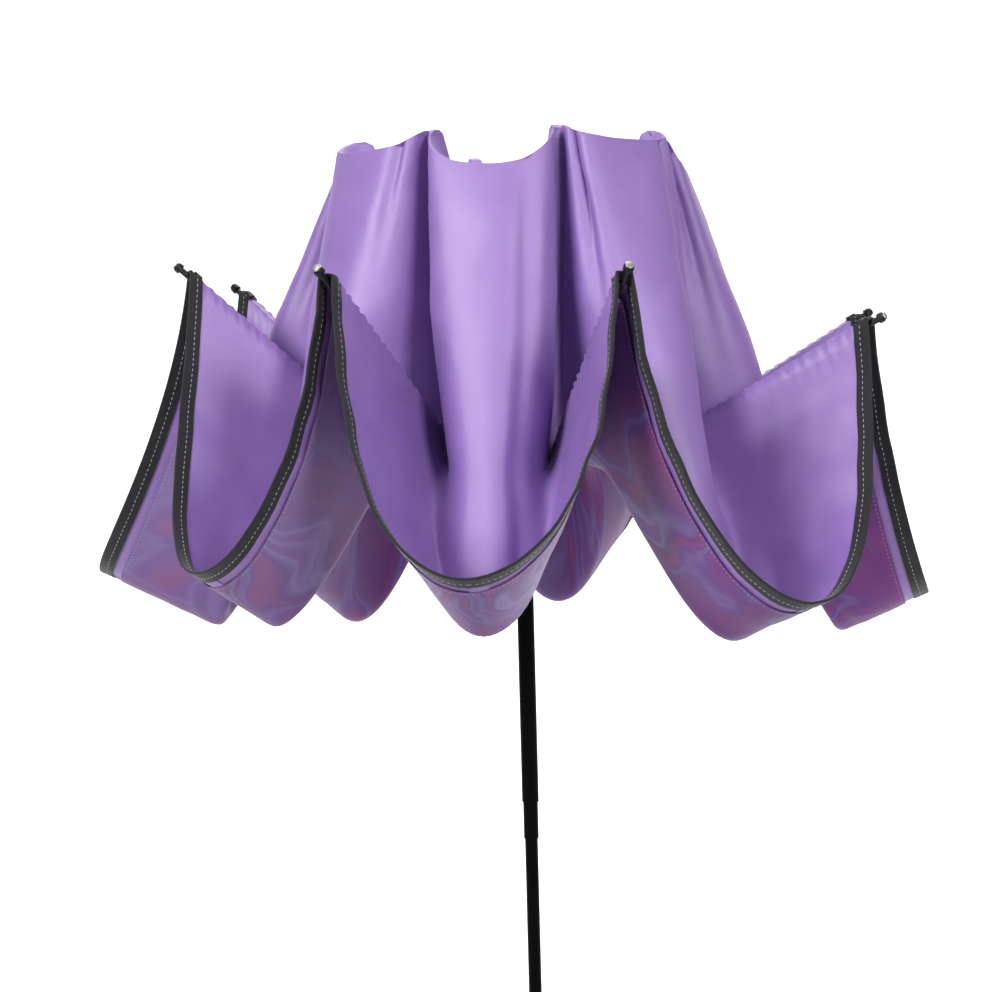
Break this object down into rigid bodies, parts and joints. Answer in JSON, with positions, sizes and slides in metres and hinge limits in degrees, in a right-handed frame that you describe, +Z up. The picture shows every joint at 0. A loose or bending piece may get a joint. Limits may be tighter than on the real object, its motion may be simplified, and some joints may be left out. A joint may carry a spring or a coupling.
{
  "type": "inverted folding umbrella",
  "caption": "Folding umbrella that closes inside out, partly closed and upright on its telescopic shaft, with hinged ribs, a sliding runner and a lined canopy.",
  "frame": {"origin": "middle of the flat end of the handle", "axes": "+Z up along the shaft from the handle to the crown; -Y towards the viewer of the picture"},
  "size_m": [0.5117, 0.5043, 0.6504],
  "materials": {
    "soft_grip": "soft-touch black grip",
    "black_plastic": "moulded black plastic",
    "grey_plastic": "dark grey moulded plastic",
    "black_tube": "satin black lacquered steel tube",
    "rib_steel": "plated rolled steel",
    "wire_steel": "bright drawn wire",
    "stretcher_black": "black lacquered rolled steel",
    "fibreglass": "black glass-fibre rod",
    "lavender_satin": "lavender satin-weave polyester",
    "marbled_lining": "marbled plum, violet and grey print on thin polyester",
    "tape": "black woven binding tape",
    "patch": "plain dark woven patch"
  },
  "bodies": {
    "handle": {"handle_grip": "soft_grip", "handle_collar": "rib_steel", "handle_end_cap": "grey_plastic", "tube_low": "black_tube", "button_spring": "wire_steel"},
    "button": {"push_button": "grey_plastic"},
    "middle_tube": {"tube_mid": "black_tube"},
    "top_tube": {"tube_top": "black_tube", "crown": "black_plastic", "crown_wire": "wire_steel", "top_cap": "black_plastic", "canopy": "lavender_satin", "lining": "marbled_lining", "hem_binding": "tape", "label": "patch"},
    "runner": {"runner": "black_plastic", "runner_wire": "wire_steel"},
    "inner_rib_1": {"inner_rib_1": "rib_steel"},
    "inner_rib_2": {"inner_rib_2": "rib_steel"},
    "inner_rib_3": {"inner_rib_3": "rib_steel"},
    "inner_rib_4": {"inner_rib_4": "rib_steel"},
    "inner_rib_5": {"inner_rib_5": "rib_steel"},
    "inner_rib_6": {"inner_rib_6": "rib_steel"},
    "inner_rib_7": {"inner_rib_7": "rib_steel"},
    "inner_rib_8": {"inner_rib_8": "rib_steel"},
    "stretcher_1": {"stretcher_1": "stretcher_black"},
    "middle_rib_1": {"middle_rib_1": "rib_steel"},
    "outer_rib_1": {"outer_rib_1": "fibreglass", "tip_cap_1": "black_plastic"},
    "stretcher_2": {"stretcher_2": "stretcher_black"},
    "middle_rib_2": {"middle_rib_2": "rib_steel"},
    "outer_rib_2": {"outer_rib_2": "fibreglass", "tip_cap_2": "black_plastic"},
    "stretcher_3": {"stretcher_3": "stretcher_black"},
    "middle_rib_3": {"middle_rib_3": "rib_steel"},
    "outer_rib_3": {"outer_rib_3": "fibreglass", "tip_cap_3": "black_plastic"},
    "stretcher_4": {"stretcher_4": "stretcher_black"},
    "middle_rib_4": {"middle_rib_4": "rib_steel"},
    "outer_rib_4": {"outer_rib_4": "fibreglass", "tip_cap_4": "black_plastic"},
    "stretcher_5": {"stretcher_5": "stretcher_black"},
    "middle_rib_5": {"middle_rib_5": "rib_steel"},
    "outer_rib_5": {"outer_rib_5": "fibreglass", "tip_cap_5": "black_plastic"},
    "stretcher_6": {"stretcher_6": "stretcher_black"},
    "middle_rib_6": {"middle_rib_6": "rib_steel"},
    "outer_rib_6": {"outer_rib_6": "fibreglass", "tip_cap_6": "black_plastic"},
    "stretcher_7": {"stretcher_7": "stretcher_black"},
    "middle_rib_7": {"middle_rib_7": "rib_steel"},
    "outer_rib_7": {"outer_rib_7": "fibreglass", "tip_cap_7": "black_plastic"},
    "stretcher_8": {"stretcher_8": "stretcher_black"},
    "middle_rib_8": {"middle_rib_8": "rib_steel"},
    "outer_rib_8": {"outer_rib_8": "fibreglass", "tip_cap_8": "black_plastic"}
  },
  "joints": [
    {"name": "button_press", "type": "slide", "parent": "handle", "child": "button", "axis": [0, 1, 0], "range_m": [0, 0.002], "stiffness_N_per_m": 600, "springref_m": -0.002, "deforming": ["button_spring"]},
    {"name": "middle_tube_slide", "type": "slide", "parent": "handle", "child": "middle_tube", "axis": [0, 0, 1], "range_m": [-0.139, 0.075]},
    {"name": "top_tube_slide", "type": "slide", "parent": "middle_tube", "child": "top_tube", "axis": [0, 0, 1], "range_m": [-0.022, 0.185]},
    {"name": "inner_rib_1_fold", "type": "hinge", "parent": "top_tube", "child": "inner_rib_1", "pos_m": [0.00207, -0.00773, 0.482], "axis": [-0.9659, -0.2588, 0], "range_deg": [-6, 23], "deforming": ["canopy", "lining", "hem_binding", "label"]},
    {"name": "inner_rib_2_fold", "type": "hinge", "parent": "top_tube", "child": "inner_rib_2", "pos_m": [0.00693, -0.004, 0.482], "axis": [-0.5, -0.866, 0], "range_deg": [-6.2, 23.2]},
    {"name": "inner_rib_3_fold", "type": "hinge", "parent": "top_tube", "child": "inner_rib_3", "pos_m": [0.00773, 0.00207, 0.482], "axis": [0.2588, -0.9659, 0], "range_deg": [-6.2, 23.2]},
    {"name": "inner_rib_4_fold", "type": "hinge", "parent": "top_tube", "child": "inner_rib_4", "pos_m": [0.004, 0.00693, 0.482], "axis": [0.866, -0.5, 0], "range_deg": [-6.2, 23.2]},
    {"name": "inner_rib_5_fold", "type": "hinge", "parent": "top_tube", "child": "inner_rib_5", "pos_m": [-0.00207, 0.00773, 0.482], "axis": [0.9659, 0.2588, 0], "range_deg": [-6.2, 23.2]},
    {"name": "inner_rib_6_fold", "type": "hinge", "parent": "top_tube", "child": "inner_rib_6", "pos_m": [-0.00693, 0.004, 0.482], "axis": [0.5, 0.866, 0], "range_deg": [-6.2, 23.2]},
    {"name": "inner_rib_7_fold", "type": "hinge", "parent": "top_tube", "child": "inner_rib_7", "pos_m": [-0.00773, -0.00207, 0.482], "axis": [-0.2588, 0.9659, 0], "range_deg": [-6.2, 23.2]},
    {"name": "inner_rib_8_fold", "type": "hinge", "parent": "top_tube", "child": "inner_rib_8", "pos_m": [-0.004, -0.00693, 0.482], "axis": [-0.866, 0.5, 0], "range_deg": [-6.2, 23.2]},
    {"name": "runner_slide", "type": "slide", "parent": "top_tube", "child": "runner", "axis": [0, 0, 1], "range_m": [-0.0013, 0.00472]},
    {"name": "stretcher_1_hinge", "type": "hinge", "parent": "runner", "child": "stretcher_1", "pos_m": [0.00269, -0.01005, 0.4379], "axis": [-0.9659, -0.2588, 0], "range_deg": [-4.22, 15.61]},
    {"name": "middle_rib_1_elbow", "type": "hinge", "parent": "inner_rib_1", "child": "middle_rib_1", "pos_m": [0.02411, -0.08996, 0.64625], "axis": [-0.9659, -0.2588, 0], "range_deg": [-16.62, 4.48]},
    {"name": "outer_rib_1_knee", "type": "hinge", "parent": "middle_rib_1", "child": "outer_rib_1", "pos_m": [0.0176, -0.06568, 0.44723], "axis": [-0.9659, -0.2588, 0], "range_deg": [-11.81, 44.72]},
    {"name": "stretcher_2_hinge", "type": "hinge", "parent": "runner", "child": "stretcher_2", "pos_m": [0.00901, -0.0052, 0.4379], "axis": [-0.5, -0.866, 0], "range_deg": [-4.22, 15.61]},
    {"name": "middle_rib_2_elbow", "type": "hinge", "parent": "inner_rib_2", "child": "middle_rib_2", "pos_m": [0.08066, -0.04657, 0.64625], "axis": [-0.5, -0.866, 0], "range_deg": [-16.62, 4.48]},
    {"name": "outer_rib_2_knee", "type": "hinge", "parent": "middle_rib_2", "child": "outer_rib_2", "pos_m": [0.05888, -0.034, 0.44723], "axis": [-0.5, -0.866, 0], "range_deg": [-14.29, 54.22]},
    {"name": "stretcher_3_hinge", "type": "hinge", "parent": "runner", "child": "stretcher_3", "pos_m": [0.01005, 0.00269, 0.4379], "axis": [0.2588, -0.9659, 0], "range_deg": [-4.22, 15.61]},
    {"name": "middle_rib_3_elbow", "type": "hinge", "parent": "inner_rib_3", "child": "middle_rib_3", "pos_m": [0.08996, 0.02411, 0.64625], "axis": [0.2588, -0.9659, 0], "range_deg": [-16.62, 4.48]},
    {"name": "outer_rib_3_knee", "type": "hinge", "parent": "middle_rib_3", "child": "outer_rib_3", "pos_m": [0.06568, 0.0176, 0.44723], "axis": [0.2588, -0.9659, 0], "range_deg": [-13.51, 51.22]},
    {"name": "stretcher_4_hinge", "type": "hinge", "parent": "runner", "child": "stretcher_4", "pos_m": [0.0052, 0.00901, 0.4379], "axis": [0.866, -0.5, 0], "range_deg": [-4.22, 15.61]},
    {"name": "middle_rib_4_elbow", "type": "hinge", "parent": "inner_rib_4", "child": "middle_rib_4", "pos_m": [0.04657, 0.08066, 0.64625], "axis": [0.866, -0.5, 0], "range_deg": [-16.62, 4.48]},
    {"name": "outer_rib_4_knee", "type": "hinge", "parent": "middle_rib_4", "child": "outer_rib_4", "pos_m": [0.034, 0.05888, 0.44723], "axis": [0.866, -0.5, 0], "range_deg": [-12.86, 48.72]},
    {"name": "stretcher_5_hinge", "type": "hinge", "parent": "runner", "child": "stretcher_5", "pos_m": [-0.00269, 0.01005, 0.4379], "axis": [0.9659, 0.2588, 0], "range_deg": [-4.22, 15.61]},
    {"name": "middle_rib_5_elbow", "type": "hinge", "parent": "inner_rib_5", "child": "middle_rib_5", "pos_m": [-0.02411, 0.08996, 0.64625], "axis": [0.9659, 0.2588, 0], "range_deg": [-16.62, 4.48]},
    {"name": "outer_rib_5_knee", "type": "hinge", "parent": "middle_rib_5", "child": "outer_rib_5", "pos_m": [-0.0176, 0.06568, 0.44723], "axis": [0.9659, 0.2588, 0], "range_deg": [-11.81, 44.72]},
    {"name": "stretcher_6_hinge", "type": "hinge", "parent": "runner", "child": "stretcher_6", "pos_m": [-0.00901, 0.0052, 0.4379], "axis": [0.5, 0.866, 0], "range_deg": [-4.22, 15.61]},
    {"name": "middle_rib_6_elbow", "type": "hinge", "parent": "inner_rib_6", "child": "middle_rib_6", "pos_m": [-0.08066, 0.04657, 0.64625], "axis": [0.5, 0.866, 0], "range_deg": [-16.62, 4.48]},
    {"name": "outer_rib_6_knee", "type": "hinge", "parent": "middle_rib_6", "child": "outer_rib_6", "pos_m": [-0.05888, 0.034, 0.44723], "axis": [0.5, 0.866, 0], "range_deg": [-10.77, 40.72]},
    {"name": "stretcher_7_hinge", "type": "hinge", "parent": "runner", "child": "stretcher_7", "pos_m": [-0.01005, -0.00269, 0.4379], "axis": [-0.2588, 0.9659, 0], "range_deg": [-4.22, 15.61]},
    {"name": "middle_rib_7_elbow", "type": "hinge", "parent": "inner_rib_7", "child": "middle_rib_7", "pos_m": [-0.08996, -0.02411, 0.64625], "axis": [-0.2588, 0.9659, 0], "range_deg": [-16.62, 4.48]},
    {"name": "outer_rib_7_knee", "type": "hinge", "parent": "middle_rib_7", "child": "outer_rib_7", "pos_m": [-0.06568, -0.0176, 0.44723], "axis": [-0.2588, 0.9659, 0], "range_deg": [-10.25, 38.72]},
    {"name": "stretcher_8_hinge", "type": "hinge", "parent": "runner", "child": "stretcher_8", "pos_m": [-0.0052, -0.00901, 0.4379], "axis": [-0.866, 0.5, 0], "range_deg": [-4.22, 15.61]},
    {"name": "middle_rib_8_elbow", "type": "hinge", "parent": "inner_rib_8", "child": "middle_rib_8", "pos_m": [-0.04657, -0.08066, 0.64625], "axis": [-0.866, 0.5, 0], "range_deg": [-16.62, 4.48]},
    {"name": "outer_rib_8_knee", "type": "hinge", "parent": "middle_rib_8", "child": "outer_rib_8", "pos_m": [-0.034, -0.05888, 0.44723], "axis": [-0.866, 0.5, 0], "range_deg": [-11.42, 43.22]}
  ],
  "couplings": [
    {"joint": "inner_rib_2_fold", "follows": "inner_rib_1_fold", "ratio": 1},
    {"joint": "inner_rib_3_fold", "follows": "inner_rib_1_fold", "ratio": 1},
    {"joint": "inner_rib_4_fold", "follows": "inner_rib_1_fold", "ratio": 1},
    {"joint": "inner_rib_5_fold", "follows": "inner_rib_1_fold", "ratio": 1},
    {"joint": "inner_rib_6_fold", "follows": "inner_rib_1_fold", "ratio": 1},
    {"joint": "inner_rib_7_fold", "follows": "inner_rib_1_fold", "ratio": 1},
    {"joint": "inner_rib_8_fold", "follows": "inner_rib_1_fold", "ratio": 1},
    {"joint": "runner_slide", "follows": "inner_rib_1_fold", "m_per_rad": 0.0115},
    {"joint": "stretcher_1_hinge", "follows": "inner_rib_1_fold", "ratio": 0.67},
    {"joint": "middle_rib_1_elbow", "follows": "inner_rib_1_fold", "ratio": -0.714},
    {"joint": "outer_rib_1_knee", "follows": "inner_rib_1_fold", "ratio": 1.9357},
    {"joint": "stretcher_2_hinge", "follows": "inner_rib_1_fold", "ratio": 0.67},
    {"joint": "middle_rib_2_elbow", "follows": "inner_rib_1_fold", "ratio": -0.714},
    {"joint": "outer_rib_2_knee", "follows": "inner_rib_1_fold", "ratio": 2.3488},
    {"joint": "stretcher_3_hinge", "follows": "inner_rib_1_fold", "ratio": 0.67},
    {"joint": "middle_rib_3_elbow", "follows": "inner_rib_1_fold", "ratio": -0.714},
    {"joint": "outer_rib_3_knee", "follows": "inner_rib_1_fold", "ratio": 2.2183},
    {"joint": "stretcher_4_hinge", "follows": "inner_rib_1_fold", "ratio": 0.67},
    {"joint": "middle_rib_4_elbow", "follows": "inner_rib_1_fold", "ratio": -0.714},
    {"joint": "outer_rib_4_knee", "follows": "inner_rib_1_fold", "ratio": 2.1097},
    {"joint": "stretcher_5_hinge", "follows": "inner_rib_1_fold", "ratio": 0.67},
    {"joint": "middle_rib_5_elbow", "follows": "inner_rib_1_fold", "ratio": -0.714},
    {"joint": "outer_rib_5_knee", "follows": "inner_rib_1_fold", "ratio": 1.9357},
    {"joint": "stretcher_6_hinge", "follows": "inner_rib_1_fold", "ratio": 0.67},
    {"joint": "middle_rib_6_elbow", "follows": "inner_rib_1_fold", "ratio": -0.714},
    {"joint": "outer_rib_6_knee", "follows": "inner_rib_1_fold", "ratio": 1.7618},
    {"joint": "stretcher_7_hinge", "follows": "inner_rib_1_fold", "ratio": 0.67},
    {"joint": "middle_rib_7_elbow", "follows": "inner_rib_1_fold", "ratio": -0.714},
    {"joint": "outer_rib_7_knee", "follows": "inner_rib_1_fold", "ratio": 1.6749},
    {"joint": "stretcher_8_hinge", "follows": "inner_rib_1_fold", "ratio": 0.67},
    {"joint": "middle_rib_8_elbow", "follows": "inner_rib_1_fold", "ratio": -0.714},
    {"joint": "outer_rib_8_knee", "follows": "inner_rib_1_fold", "ratio": 1.8705}
  ]
}
